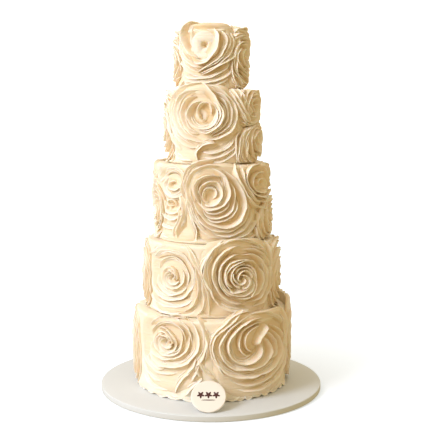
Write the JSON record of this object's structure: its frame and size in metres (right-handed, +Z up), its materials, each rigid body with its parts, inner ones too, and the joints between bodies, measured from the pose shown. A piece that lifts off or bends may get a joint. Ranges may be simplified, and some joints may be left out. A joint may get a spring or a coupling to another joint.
{
  "type": "tiered wedding cake",
  "caption": "Tall tiered wedding cake on its round board, covered in large piped buttercream roses, with a small bare round plaque leaning at its foot.",
  "frame": {"origin": "centre of the board's underside", "axes": "+Z up through the middle of the tiers; -Y is the front, where the plaque leans; +X is to the right seen from the front"},
  "size_m": [0.356, 0.356, 0.5767],
  "materials": {
    "icing": "smooth pale ivory buttercream, softly satin",
    "buttercream": "piped ivory buttercream with thin wavy edges, softly satin",
    "board_cover": "matte ivory cover over the cake board",
    "plaque_disc": "smooth satin ivory disc with rounded edge",
    "plaque_mark": null
  },
  "bodies": {
    "root": {"board": "board_cover", "tier_1": "icing", "tier_2": "icing", "tier_3": "icing", "tier_4": "icing", "tier_5": "icing", "rose_1_1": "buttercream", "rose_1_2": "buttercream", "rose_1_3": "buttercream", "rose_1_4": "buttercream", "rose_1_5": "buttercream", "rose_1_6": "buttercream", "rose_2_1": "buttercream", "rose_2_2": "buttercream", "rose_2_3": "buttercream", "rose_2_4": "buttercream", "rose_2_5": "buttercream", "rose_2_6": "buttercream", "rose_3_1": "buttercream", "rose_3_2": "buttercream", "rose_3_3": "buttercream", "rose_3_4": "buttercream", "rose_3_5": "buttercream", "rose_3_6": "buttercream", "rose_3_7": "buttercream", "rose_3_8": "buttercream", "rose_3_9": "buttercream", "rose_4_1": "buttercream", "rose_4_2": "buttercream", "rose_4_3": "buttercream", "rose_4_4": "buttercream", "rose_4_5": "buttercream", "rose_4_6": "buttercream", "rose_5_1": "buttercream", "rose_5_2": "buttercream", "rose_5_3": "buttercream", "rose_5_4": "buttercream", "rose_5_5": "buttercream", "fold_1": "buttercream", "fold_2": "buttercream", "plaque": "plaque_disc"}
  },
  "joints": []
}
